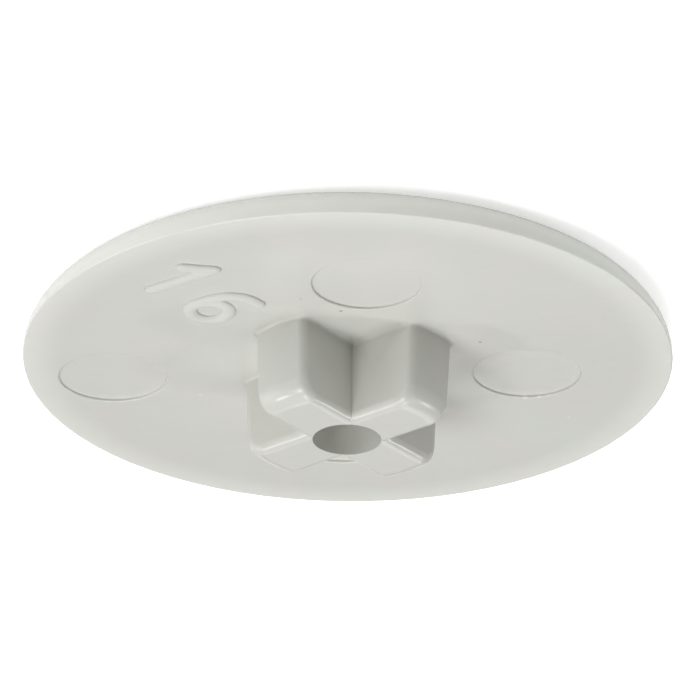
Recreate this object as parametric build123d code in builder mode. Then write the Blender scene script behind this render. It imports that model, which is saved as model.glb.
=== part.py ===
from build123d import *

import os
from math import radians, sqrt, tan

# Plug for the recess of a cross-head screw, moulded in one piece: a thin round disc that hides the
# screw head, and a short cross-shaped stem that presses into the recess.
#
# Z = 0 is the seat, the face of the disc that lies on the screw head, and the origin is the point
# where the stem's axis meets it. The stem points up and the crown, the side that is seen in use,
# faces down. Lengths are in millimetres and angles in degrees.

# Disc: its rim is a quarter round that runs from the seat's eased edge down to the crown
DISC_DIAMETER = 12.0
DISC_THICKNESS = 0.67
SEAT_EDGE_RADIUS = 0.03

# Stem: four straight-sided arms whose ends lie on one circle
STEM_HEIGHT = 1.58
STEM_SPAN = 4.16  # across two opposite arms, at the root
STEM_BEARING = 39.0  # direction of the first arm, from +X
ARM_COUNT = 4
END_DRAFT = 3.0  # lean of the arms' ends towards the axis
TIP_RADIUS = 0.38  # rounding between the arms' ends and the tip
ARM_WIDTH = 1.18  # at the root
ARM_DRAFT = 0.5  # lean of the arms' sides
ARM_EDGE_RADIUS = 0.17  # along the sides and corners of each arm
ROOT_RADIUS = 0.08  # all round the foot of the stem

# Bore: a blind core down the middle of the stem
BORE_WALL = 0.18  # thinnest wall, to the inner corner between two arms at the tip
BORE_DRAFT = 0.5
BORE_FLOOR = 0.15  # height of its floor above the seat

# Ejector marks: shallow round prints that the mould's pins leave in the seat
PIN_DIAMETER = 2.0
PIN_DEPTH = 0.05
PIN_EDGE_RADIUS = 0.03
PIN_PLACES = [(0.545, 89.0), (0.558, 173.0), (0.533, 264.0), (0.735, 9.4)]  # share of the disc's radius, bearing

# Sizes that follow from those
disc_radius = DISC_DIAMETER / 2
rim_radius = DISC_THICKNESS - SEAT_EDGE_RADIUS
root_radius_of_stem = STEM_SPAN / 2
tip_radius_of_stem = root_radius_of_stem - STEM_HEIGHT * tan(radians(END_DRAFT))
arm_width_at_tip = ARM_WIDTH - 2 * STEM_HEIGHT * tan(radians(ARM_DRAFT))
corner_at_root = ARM_WIDTH / sqrt(2)  # distance of the inner corners between the arms
corner_at_tip = arm_width_at_tip / sqrt(2)
bore_radius = corner_at_tip - BORE_WALL
bore_depth = STEM_HEIGHT - BORE_FLOOR


def distance_from_axis(edge):
    """How far the middle of an edge lies from the stem's axis."""
    middle = edge @ 0.5
    return sqrt(middle.X**2 + middle.Y**2)


with BuildPart() as hole_plug:
    # Disc, turned from half of its section
    with BuildSketch(Plane.XZ) as disc_section:
        with BuildLine():
            seat_line = Line((0, 0), (disc_radius - SEAT_EDGE_RADIUS, 0))
            CenterArc((disc_radius - SEAT_EDGE_RADIUS, -SEAT_EDGE_RADIUS), SEAT_EDGE_RADIUS, 90, -90)
            rim_arc = CenterArc((disc_radius - rim_radius, -SEAT_EDGE_RADIUS), rim_radius, 0, -90)
            crown_line = Line(rim_arc @ 1, (0, -DISC_THICKNESS))
            Line(crown_line @ 1, seat_line @ 0)
        make_face()
    revolve(axis=Axis.Z)

    # Stem blank, a drafted round boss with a rounded tip
    with BuildSketch(Plane.XZ) as stem_section:
        with BuildLine():
            axis_line = Line((0, STEM_HEIGHT), (0, 0))
            root_line = Line(axis_line @ 1, (root_radius_of_stem, 0))
            end_line = Line(root_line @ 1, (tip_radius_of_stem, STEM_HEIGHT))
            Line(end_line @ 1, axis_line @ 0)
        make_face()
        tip_edge = stem_section.vertices().group_by(Axis.Y)[-1].sort_by(Axis.X)[-1]
        fillet(tip_edge, TIP_RADIUS)
    revolve(axis=Axis.Z)

    # Square notches, each with a corner towards the axis, leave the arms between them
    with BuildSketch() as notches:
        with PolarLocations(corner_at_root, ARM_COUNT, start_angle=STEM_BEARING + 180 / ARM_COUNT):
            Rectangle(
                root_radius_of_stem,
                root_radius_of_stem,
                rotation=-45,
                align=(Align.MIN, Align.MIN),
            )
    extrude(amount=STEM_HEIGHT, taper=-ARM_DRAFT, mode=Mode.SUBTRACT)

    # Rounded long edges on the arms: every edge the notches cut, but for the inner corners and
    # the foot
    notch_edges = hole_plug.edges(Select.LAST)
    above_seat = notch_edges.filter_by(lambda edge: (edge @ 0.5).Z > STEM_HEIGHT / 10)
    arm_edges = above_seat.filter_by(lambda edge: distance_from_axis(edge) > corner_at_root)
    fillet(arm_edges, ARM_EDGE_RADIUS)

    # Fillet round the foot of the stem
    seat_edges = hole_plug.edges().filter_by_position(Axis.Z, -ROOT_RADIUS / 2, ROOT_RADIUS / 2)
    foot_edges = seat_edges.filter_by(lambda edge: distance_from_axis(edge) < disc_radius / 2)
    fillet(foot_edges, ROOT_RADIUS)

    # Bore
    with BuildSketch(Plane.XY.offset(STEM_HEIGHT)) as bore_mouth:
        Circle(bore_radius)
    extrude(amount=-bore_depth, taper=BORE_DRAFT, mode=Mode.SUBTRACT)

    # Ejector marks, with their edges eased
    with BuildSketch() as ejector_marks:
        for share, bearing in PIN_PLACES:
            with PolarLocations(share * disc_radius, 1, start_angle=bearing):
                Circle(PIN_DIAMETER / 2)
    extrude(amount=-PIN_DEPTH, mode=Mode.SUBTRACT)
    mark_edges = hole_plug.edges(Select.LAST).group_by(Axis.Z)[-1]
    fillet(mark_edges, PIN_EDGE_RADIUS)

hole_plug.part.label = "hole_plug"
os.makedirs("parts", exist_ok=True)
export_step(hole_plug.part, "parts/hole_plug.step")
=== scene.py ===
from math import cos, radians, sin

import bmesh
import bpy
from bpy.props import FloatProperty, FloatVectorProperty, PointerProperty, StringProperty
from mathutils import Matrix, Vector


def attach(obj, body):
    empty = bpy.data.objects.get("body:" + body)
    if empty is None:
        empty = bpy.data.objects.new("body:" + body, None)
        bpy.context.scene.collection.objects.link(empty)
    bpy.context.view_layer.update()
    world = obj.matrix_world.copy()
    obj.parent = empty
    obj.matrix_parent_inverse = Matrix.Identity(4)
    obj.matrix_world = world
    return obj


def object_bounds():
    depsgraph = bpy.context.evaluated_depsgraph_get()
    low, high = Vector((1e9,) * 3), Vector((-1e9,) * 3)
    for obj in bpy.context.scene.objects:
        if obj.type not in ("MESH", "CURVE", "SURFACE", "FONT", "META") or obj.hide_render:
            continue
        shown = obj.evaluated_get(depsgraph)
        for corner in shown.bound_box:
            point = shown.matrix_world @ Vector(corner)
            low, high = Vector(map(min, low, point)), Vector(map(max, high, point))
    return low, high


bl_info = {
    "name": "Screw Recess Plug",
    "version": (1, 0, 0),
    "blender": (4, 5, 0),
    "location": "View3D > Sidebar > Plug",
    "description": "Finish, cavity number and studio for a moulded plug that covers a screw's cross recess",
    "category": "Object",
}

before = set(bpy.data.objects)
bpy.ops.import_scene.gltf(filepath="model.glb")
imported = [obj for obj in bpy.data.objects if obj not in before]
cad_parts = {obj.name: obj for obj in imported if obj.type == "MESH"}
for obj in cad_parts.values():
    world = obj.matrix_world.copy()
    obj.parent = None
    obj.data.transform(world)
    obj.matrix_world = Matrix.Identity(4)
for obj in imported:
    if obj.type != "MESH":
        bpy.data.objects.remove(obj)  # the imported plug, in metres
cad_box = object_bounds()  # its lowest and highest corners

MM = 0.001
FLOOR_LEVEL = cad_box[0][2]  # the crown lies on the floor
DISC_RADIUS = cad_box[1][0]


# Shader nodes


class Value:
    """A shader socket that takes part in sums: each operation on it adds a Math node."""

    def __init__(self, nodes, socket):
        self.nodes = nodes
        self.socket = socket

    def math(self, operation, *terms):
        return self.nodes.add("ShaderNodeMath", {"operation": operation}, dict(enumerate(terms)))

    def __add__(self, other):
        return self.math("ADD", self, other)

    def __radd__(self, other):
        return self.math("ADD", other, self)

    def __sub__(self, other):
        return self.math("SUBTRACT", self, other)

    def __rsub__(self, other):
        return self.math("SUBTRACT", other, self)

    def __mul__(self, other):
        return self.math("MULTIPLY", self, other)

    def __rmul__(self, other):
        return self.math("MULTIPLY", other, self)

    def __pow__(self, other):
        return self.math("POWER", self, other)

    def at_least(self, other):
        return self.math("MAXIMUM", self, other)


class Nodes:
    """The node tree of one material or world."""

    def __init__(self, owner):
        owner.use_nodes = True
        self.tree = owner.node_tree
        self.tree.nodes.clear()

    def add(self, kind, settings=None, sockets=None, output=0):
        """A new node: its type, its settings, its sockets' values or links, and the output used."""
        node = self.tree.nodes.new(kind)
        for key, value in (settings or {}).items():
            setattr(node, key, value)
        for key, value in (sockets or {}).items():
            if isinstance(value, Value):
                self.tree.links.new(value.socket, node.inputs[key])
            else:
                node.inputs[key].default_value = value
        return Value(self, node.outputs[output]) if node.outputs else node

    def mix_colour(self, factor, first, second, blend="MIX"):
        settings = {"data_type": "RGBA", "blend_type": blend}
        return self.add("ShaderNodeMix", settings, {0: factor, 6: first, 7: second}, output=2)

    def ramp(self, value, start, end, low=0.0, high=1.0):
        """A smooth step of the value from low at start to high at end."""
        settings = {"interpolation_type": "SMOOTHSTEP"}
        sockets = {0: value, 1: start, 2: end, 3: low, 4: high}
        return self.add("ShaderNodeMapRange", settings, sockets)

    def noise(self, place, size, detail=2.0, roughness=0.5):
        """Noise from 0 to 1 whose lumps are about size across, in metres."""
        sockets = {"Vector": place, "Scale": 1.0 / size, "Detail": detail, "Roughness": roughness}
        return self.add("ShaderNodeTexNoise", {}, sockets)


def new_material(name):
    material = bpy.data.materials.new(name)
    return material, Nodes(material)


# Moulded plastic

CLOUD_SIZE = 1.6 * MM  # slow colour clouds
CLOUD_EDGES = (0.35, 0.65)  # noise levels at which one tint gives way to the other
POLISH_SIZE = 0.5 * MM  # patches of more and less gloss
SPECK_CORE = 0.4  # share of a speck's radius that has its full colour
# colour of the pale spots, partly a painted highlight: three of them stand in for the glint on an ejector recess's
# rim
PALE_SPECK_AND_GLINT_COLOUR = (0.95, 0.95, 0.93, 1.0)


# Pinpoint marks: place in millimetres, radius, how much of their colour shows. The dark ones are specks in the
# plastic; the pale ones are partly a painted highlight
DARK_SPECKS = [
    (3.52, 0.37, 0.0, 0.045, 0.55),
    (0.13, -2.11, 0.0, 0.050, 0.45),
    (-0.05, -2.83, 0.0, 0.040, 0.30),
    (0.86, -2.58, 0.0, 0.035, 0.25),
    (-2.43, -0.90, 0.0, 0.045, 0.40),
    (-2.70, -0.25, 0.0, 0.045, 0.40),
    (-0.72, -0.99, 0.95, 0.070, 0.22),
]
# the first three are a painted highlight on the +Y rim of the ejector recess on the -X side, where its wall catches
# the light; the last is a plain pale spot
PALE_SPECKS_AND_GLINTS = [
    (-3.31, 1.41, 0.0, 0.07, 0.5),
    (-3.57, 1.36, 0.0, 0.06, 0.6),
    (-3.73, 1.15, 0.0, 0.05, 0.5),
    (2.74, 1.40, 0.0, 0.05, 0.3),
]


def speck_mask(nodes, place, specks):
    """One where a speck is, zero elsewhere."""
    mask = None
    for x, y, z, radius, strength in specks:
        centre = (x * MM, y * MM, z * MM)
        distance = nodes.add("ShaderNodeVectorMath", {"operation": "DISTANCE"}, {0: place, 1: centre}, output="Value")
        spot = nodes.ramp(distance, SPECK_CORE * radius * MM, radius * MM, strength, 0.0)
        mask = spot if mask is None else mask.at_least(spot)
    return mask


def plug_plastic(finish):
    """Pale, faintly translucent polyethylene with the bloom of the mould on it."""
    material, nodes = new_material("plug_plastic")
    place = nodes.add("ShaderNodeTexCoord", output="Object")
    along = nodes.add("ShaderNodeSeparateXYZ", {}, {0: place}, output="X")
    across = nodes.add("ShaderNodeSeparateXYZ", {}, {0: place}, output="Y")
    from_axis = (along * along + across * across) ** 0.5

    # painted light: the base colour turns paler towards the rim, standing in for light that shines through the thin
    # edge
    rim = nodes.ramp(from_axis, DISC_RADIUS - finish.painted_rim_glow_width, DISC_RADIUS)
    colour = nodes.mix_colour(rim * finish.painted_rim_glow_share, tuple(finish.colour), tuple(finish.painted_rim_glow_colour))

    # slow clouds of flow in the melt, a touch warmer or greener
    cloud = nodes.noise(place, CLOUD_SIZE, 3.0)
    warm = nodes.ramp(cloud, *CLOUD_EDGES)
    tint = nodes.mix_colour(warm, tuple(finish.warm_tint), tuple(finish.green_tint))
    colour = nodes.mix_colour(1.0, colour, tint, "MULTIPLY")

    # pinpoint marks: dark specks in the plastic, then pale spots, three of which are a painted highlight on the rim
    # of an ejector recess
    dark = speck_mask(nodes, place, DARK_SPECKS)
    colour = nodes.mix_colour(dark, colour, tuple(finish.speck_colour))
    pale = speck_mask(nodes, place, PALE_SPECKS_AND_GLINTS)
    colour = nodes.mix_colour(pale, colour, PALE_SPECK_AND_GLINT_COLOUR)

    # gloss that changes with how well the mould was polished
    polish = nodes.noise(place, POLISH_SIZE, 2.0)
    roughness = finish.roughness + (polish - 0.5) * finish.roughness_spread

    # long ripples under fine grain
    ripple = nodes.noise(place, finish.ripple_size, 2.0)
    grain = nodes.noise(place, finish.grain_size, 2.0, 0.6)
    height = ripple * finish.ripple_height + grain * finish.grain_height
    normal = nodes.add("ShaderNodeBump", {}, {"Strength": 1.0, "Distance": 1.0, "Height": height})

    sockets = {
        "Base Color": colour,
        "Roughness": roughness,
        "Normal": normal,
        "IOR": 1.51,
        "Subsurface Weight": finish.translucency,
        "Subsurface Radius": (1.0, 0.97, 0.88),
        "Subsurface Scale": finish.translucency_depth,
    }
    shader = nodes.add("ShaderNodeBsdfPrincipled", {}, sockets)
    nodes.add("ShaderNodeOutputMaterial", {}, {"Surface": shader})
    return material


class PlugFinish(bpy.types.PropertyGroup):
    colour: FloatVectorProperty(
        name="Colour", description="Colour of the plastic", subtype="COLOR", size=4,
        min=0.0, max=1.0, default=(0.70, 0.70, 0.668, 1.0),
    )
    # painted light: the next three settings make the paler rim colour that stands in for light shining through the
    # thin edge
    painted_rim_glow_colour: FloatVectorProperty(
        name="Rim colour", description="Colour where the rim thins out", subtype="COLOR", size=4,
        min=0.0, max=1.0, default=(0.82, 0.825, 0.785, 1.0),
    )
    painted_rim_glow_share: FloatProperty(
        name="Rim share", description="How much of the rim colour shows at the edge",
        subtype="FACTOR", min=0.0, max=1.0, default=0.8,
    )
    painted_rim_glow_width: FloatProperty(
        name="Rim width", description="How far in from the edge the rim colour reaches",
        subtype="DISTANCE", unit="LENGTH", precision=5, min=0.0, default=0.8 * MM,
    )
    warm_tint: FloatVectorProperty(
        name="Warm tint", description="Tint of the warmer clouds in the plastic", subtype="COLOR", size=4,
        min=0.0, max=1.0, default=(1.0, 0.985, 0.975, 1.0),
    )
    green_tint: FloatVectorProperty(
        name="Green tint", description="Tint of the greener clouds in the plastic", subtype="COLOR", size=4,
        min=0.0, max=1.0, default=(0.985, 1.0, 0.98, 1.0),
    )
    speck_colour: FloatVectorProperty(
        name="Speck colour", description="Colour of the dirt specks", subtype="COLOR", size=4,
        min=0.0, max=1.0, default=(0.12, 0.11, 0.09, 1.0),
    )
    roughness: FloatProperty(
        name="Roughness", description="Mean roughness of the moulded surface",
        subtype="FACTOR", min=0.0, max=1.0, default=0.24,
    )
    roughness_spread: FloatProperty(
        name="Roughness spread", description="How much the roughness changes over the surface",
        subtype="FACTOR", min=0.0, max=1.0, default=0.12,
    )
    ripple_size: FloatProperty(
        name="Ripple size", description="Distance between the long ripples",
        subtype="DISTANCE", unit="LENGTH", precision=5, min=0.0, default=0.30 * MM,
    )
    ripple_height: FloatProperty(
        name="Ripple height", description="Height of the long ripples",
        subtype="DISTANCE", unit="LENGTH", precision=6, min=0.0, default=0.004 * MM,
    )
    grain_size: FloatProperty(
        name="Grain size", description="Distance between the grains left by the mould",
        subtype="DISTANCE", unit="LENGTH", precision=5, min=0.0, default=0.08 * MM,
    )
    grain_height: FloatProperty(
        name="Grain height", description="Height of the grains left by the mould",
        subtype="DISTANCE", unit="LENGTH", precision=6, min=0.0, default=0.0012 * MM,
    )
    translucency: FloatProperty(
        name="Translucency", description="Share of the light that goes into the plastic",
        subtype="FACTOR", min=0.0, max=1.0, default=0.15,
    )
    translucency_depth: FloatProperty(
        name="Translucency depth", description="How far light spreads inside the plastic",
        subtype="DISTANCE", unit="LENGTH", precision=5, min=0.0, default=0.35 * MM,
    )


class PLUG_OT_finish(bpy.types.Operator):
    """Give the moulded plug its plastic"""

    bl_idname = "plug.finish"
    bl_label = "Plug Finish"

    def execute(self, context):
        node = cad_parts["hole_plug"]
        node.data.materials.clear()
        node.data.materials.append(plug_plastic(context.scene.plug_finish))
        return {"FINISHED"}


# Cavity number


# Centre lines of the digits, in parts of the digit height: across, up; a closed line ends where it starts
DIGITS = {
    "1": [[(0.0, 0.06), (0.0, 0.5), (0.0, 0.94)], [(0.0, 0.94), (-0.13, 0.80), (-0.25, 0.68)]],
    "6": [
        [(0.23, 0.29), (0.16, 0.45), (0.0, 0.51), (-0.16, 0.45), (-0.23, 0.29), (-0.16, 0.13),
         (0.0, 0.07), (0.16, 0.13), (0.23, 0.29)],
        [(-0.23, 0.29), (-0.23, 0.50), (-0.17, 0.70), (-0.02, 0.83), (0.18, 0.86)],
    ],
}


LINE_STEPS = 12  # beads from one point of a centre line to the next
UNION_VOXEL = 0.022  # millimetres
UNION_SOFTENING = 6


class CavityNumber(bpy.types.PropertyGroup):
    digits: StringProperty(name="Digits", description="Plain number of the mould cavity", default="16")
    height: FloatProperty(
        name="Height", description="Height of the digits",
        subtype="DISTANCE", unit="LENGTH", precision=5, min=0.0, default=1.58 * MM,
    )
    pitch: FloatProperty(
        name="Pitch", description="Distance from digit to digit",
        subtype="DISTANCE", unit="LENGTH", precision=5, min=0.0, default=1.28 * MM,
    )
    stroke: FloatProperty(
        name="Stroke", description="Width of the strokes",
        subtype="DISTANCE", unit="LENGTH", precision=5, min=0.0, default=0.28 * MM,
    )
    relief: FloatProperty(
        name="Relief", description="How far the strokes stand out of the seat",
        subtype="DISTANCE", unit="LENGTH", precision=5, min=0.0, default=0.075 * MM,
    )
    foot: FloatVectorProperty(
        name="Foot", description="Foot of the first digit on the seat",
        subtype="TRANSLATION", unit="LENGTH", precision=5, size=3, default=(3.64 * MM, -2.89 * MM, 0.0),
    )
    bearing: FloatProperty(
        name="Bearing", description="Direction in which the number reads",
        subtype="ANGLE", default=radians(125.0),
    )


def smooth_line(points, steps):
    """Points along the smooth curve through the given ones."""
    closed = points[0] == points[-1]
    count = len(points)
    line = []
    for index in range(count - 1):
        before = points[index - 1] if index else (points[-2] if closed else points[0])
        start = points[index]
        end = points[index + 1]
        after = points[index + 2] if index + 2 < count else (points[1] if closed else points[-1])
        for step in range(steps):
            t = step / steps
            line.append(
                0.5 * ((-t + 2 * t**2 - t**3) * Vector(before) + (2 - 5 * t**2 + 3 * t**3) * Vector(start)
                       + (t + 4 * t**2 - 3 * t**3) * Vector(end) + (t**3 - t**2) * Vector(after))
            )
    line.append(Vector(points[-1]))
    return line


def bead(mesh, centre, radius):
    """Add a closed ball of the stroke's width at a point of its line."""
    bmesh.ops.create_icosphere(mesh, subdivisions=2, radius=radius, matrix=Matrix.Translation(centre))


def cavity_number(settings):
    """The raised number as one closed mesh, with its lower half in the disc."""
    radius = settings.stroke / 2 / MM
    height = settings.height / MM
    pitch = settings.pitch / MM
    strokes = bmesh.new()
    for index, digit in enumerate(settings.digits):
        for points in DIGITS[digit]:
            line = smooth_line([(index * pitch + x * height, y * height, 0.0) for x, y in points], LINE_STEPS)
            for centre in line:
                bead(strokes, centre, radius)
    mesh = bpy.data.meshes.new("cavity_number")
    strokes.to_mesh(mesh)
    strokes.free()

    draft = bpy.data.objects.new("cavity_number_draft", mesh)
    bpy.context.scene.collection.objects.link(draft)
    union = draft.modifiers.new("union", "REMESH")
    union.mode = "VOXEL"
    union.voxel_size = UNION_VOXEL
    union.adaptivity = 0.0
    soften = draft.modifiers.new("soften", "SMOOTH")
    soften.factor = 0.5
    soften.iterations = UNION_SOFTENING
    depsgraph = bpy.context.evaluated_depsgraph_get()
    solid = bpy.data.meshes.new_from_object(draft.evaluated_get(depsgraph))
    bpy.data.objects.remove(draft)

    relief = settings.relief / MM / radius
    turn = Matrix.Rotation(settings.bearing, 4, "Z")
    size = Matrix.Diagonal((MM, MM, MM * relief, 1.0))
    solid.transform(Matrix.Translation(settings.foot) @ turn @ size)
    solid.name = "cavity_number"
    for face in solid.polygons:
        face.use_smooth = True
    return bpy.data.objects.new("cavity_number", solid)


class PLUG_OT_cavity_number(bpy.types.Operator):
    """Raise the cavity number on the seat"""

    bl_idname = "plug.cavity_number"
    bl_label = "Cavity Number"

    def execute(self, context):
        number = cavity_number(context.scene.plug_number)
        context.scene.collection.objects.link(number)
        number.data.materials.clear()
        number.data.materials.append(bpy.data.materials["plug_plastic"])
        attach(number, "root")
        return {"FINISHED"}


# Studio

FLOOR_HALF = 0.25
CAMERA_ROLL = radians(0.5)
CAMERA_AIM = (0.007 * MM, 0.271 * MM, 0.0)  # off the seat's centre: view right, view up


class Studio(bpy.types.PropertyGroup):
    floor_colour: FloatVectorProperty(
        name="Floor colour", description="Colour of the floor", subtype="COLOR", size=4,
        min=0.0, max=1.0, default=(0.85, 0.85, 0.85, 1.0),
    )
    backdrop: FloatProperty(
        name="Backdrop", description="Extra paleness of the floor as the camera sees it",
        min=0.0, default=0.3,
    )
    bounce: FloatProperty(
        name="Bounce", description="Light that the floor sends up under the rim", min=0.0, default=0.22,
    )
    lamp_distance: FloatProperty(
        name="Lamp distance", description="Distance of the soft lamps from the plug",
        subtype="DISTANCE", unit="LENGTH", min=0.0, default=0.15,
    )
    room: FloatProperty(name="Room", description="Strength of the light from all round", min=0.0, default=0.0)
    camera_elevation: FloatProperty(
        name="Camera elevation", description="Height of the camera over the seat", subtype="ANGLE",
        default=radians(26.5),
    )
    camera_distance: FloatProperty(
        name="Camera distance", description="Distance of the camera from the plug",
        subtype="DISTANCE", unit="LENGTH", min=0.0, default=144.0 * MM,
    )
    camera_lens: FloatProperty(
        name="Camera lens", description="Focal length of the camera", unit="CAMERA", min=1.0, default=403.4,
    )


# Soft lamps: bearing from +X and elevation in degrees, diameter in metres, power in watts
LAMPS = {
    "overhead": (0.0, 90.0, 0.090, 0.085),
    "key_front": (315.0, 45.0, 0.070, 0.088),
    "side_low": (0.0, 15.0, 0.090, 0.036),
    "side_high": (0.0, 44.0, 0.014, 0.022),
    "fill_side": (165.0, 34.0, 0.016, 0.021),
    "fill_high": (180.0, 60.0, 0.090, 0.026),
    "back": (100.0, 45.0, 0.090, 0.030),
}


def studio_floor(settings):
    """A wide pale floor under the crown."""
    material, nodes = new_material("studio_floor")
    seen = nodes.add("ShaderNodeLightPath", output="Is Camera Ray")
    paint = nodes.add("ShaderNodeBsdfDiffuse", {}, {"Color": tuple(settings.floor_colour)})
    glow = nodes.add("ShaderNodeEmission", {}, {"Strength": settings.bounce + seen * settings.backdrop})
    both = nodes.add("ShaderNodeAddShader", {}, {0: paint, 1: glow})
    nodes.add("ShaderNodeOutputMaterial", {}, {"Surface": both})

    turns = ((-1, -1), (1, -1), (1, 1), (-1, 1))
    corners = [(x * FLOOR_HALF, y * FLOOR_HALF, FLOOR_LEVEL) for x, y in turns]
    mesh = bpy.data.meshes.new("studio_floor")
    mesh.from_pydata(corners, [], [(0, 1, 2, 3)])
    mesh.materials.append(material)
    floor = bpy.data.objects.new("studio_floor", mesh)
    bpy.context.scene.collection.objects.link(floor)


def studio_lamp(name, settings, bearing, elevation, size, power):
    """A soft disc of light that faces the plug."""
    light = bpy.data.lights.new(name, "AREA")
    light.shape = "DISK"
    light.size = size
    light.energy = power
    turn = radians(bearing)
    rise = radians(elevation)
    away = Vector((cos(rise) * cos(turn), cos(rise) * sin(turn), sin(rise)))
    lamp = bpy.data.objects.new(name, light)
    lamp.location = away * settings.lamp_distance
    lamp.rotation_euler = (-away).to_track_quat("-Z", "Y").to_euler()
    bpy.context.scene.collection.objects.link(lamp)


def studio_room(settings):
    """Even light from all round."""
    world = bpy.data.worlds.new("studio_room")
    nodes = Nodes(world)
    sockets = {"Color": (1.0, 1.0, 1.0, 1.0), "Strength": settings.room}
    light = nodes.add("ShaderNodeBackground", {}, sockets)
    nodes.add("ShaderNodeOutputWorld", {}, {"Surface": light})
    bpy.context.scene.world = world


def studio_camera(settings):
    """A long lens on the stem's side, upside down, so that the near rim comes at the top of the view."""
    data = bpy.data.cameras.new("studio_camera")
    data.sensor_width = 36.0
    data.lens = settings.camera_lens
    data.clip_start = 0.02
    data.clip_end = 2.0
    rise = settings.camera_elevation
    toward = Vector((0.0, -cos(rise), sin(rise)))
    up = Vector((0.0, -sin(rise), -cos(rise)))
    right = Vector((-1.0, 0.0, 0.0))
    turned = Matrix((right, up, toward)).transposed() @ Matrix.Rotation(CAMERA_ROLL, 3, "Z")
    aim = turned @ Vector(CAMERA_AIM)
    camera = bpy.data.objects.new("studio_camera", data)
    camera.matrix_world = Matrix.Translation(aim + toward * settings.camera_distance) @ turned.to_4x4()
    bpy.context.scene.collection.objects.link(camera)
    bpy.context.scene.camera = camera


class PLUG_OT_studio(bpy.types.Operator):
    """Set up the floor, the lamps and the camera"""

    bl_idname = "plug.studio"
    bl_label = "Studio"

    def execute(self, context):
        settings = context.scene.plug_studio
        studio_floor(settings)
        for name, (bearing, elevation, size, power) in LAMPS.items():
            studio_lamp(name, settings, bearing, elevation, size, power)
        studio_room(settings)
        studio_camera(settings)
        context.scene.view_settings.view_transform = "Standard"
        return {"FINISHED"}


# Add-on


class PLUG_PT_panel(bpy.types.Panel):
    """The plug's pieces and settings"""

    bl_idname = "PLUG_PT_panel"
    bl_label = "Screw Recess Plug"
    bl_space_type = "VIEW_3D"
    bl_region_type = "UI"
    bl_category = "Plug"

    def draw(self, context):
        scene = context.scene
        for settings, operator in (
            (scene.plug_finish, PLUG_OT_finish),
            (scene.plug_number, PLUG_OT_cavity_number),
            (scene.plug_studio, PLUG_OT_studio),
        ):
            box = self.layout.box()
            for name in settings.__annotations__:
                box.prop(settings, name)
            box.operator(operator.bl_idname)


CLASSES = (
    PlugFinish,
    CavityNumber,
    Studio,
    PLUG_OT_finish,
    PLUG_OT_cavity_number,
    PLUG_OT_studio,
    PLUG_PT_panel,
)


def register():
    for kind in CLASSES:
        bpy.utils.register_class(kind)
    bpy.types.Scene.plug_finish = PointerProperty(type=PlugFinish)
    bpy.types.Scene.plug_number = PointerProperty(type=CavityNumber)
    bpy.types.Scene.plug_studio = PointerProperty(type=Studio)


def unregister():
    del bpy.types.Scene.plug_studio
    del bpy.types.Scene.plug_number
    del bpy.types.Scene.plug_finish
    for kind in reversed(CLASSES):
        bpy.utils.unregister_class(kind)


def main():
    register()
    bpy.ops.plug.finish()
    bpy.ops.plug.cavity_number()
    bpy.ops.plug.studio()


if __name__ == "__main__":
    main()
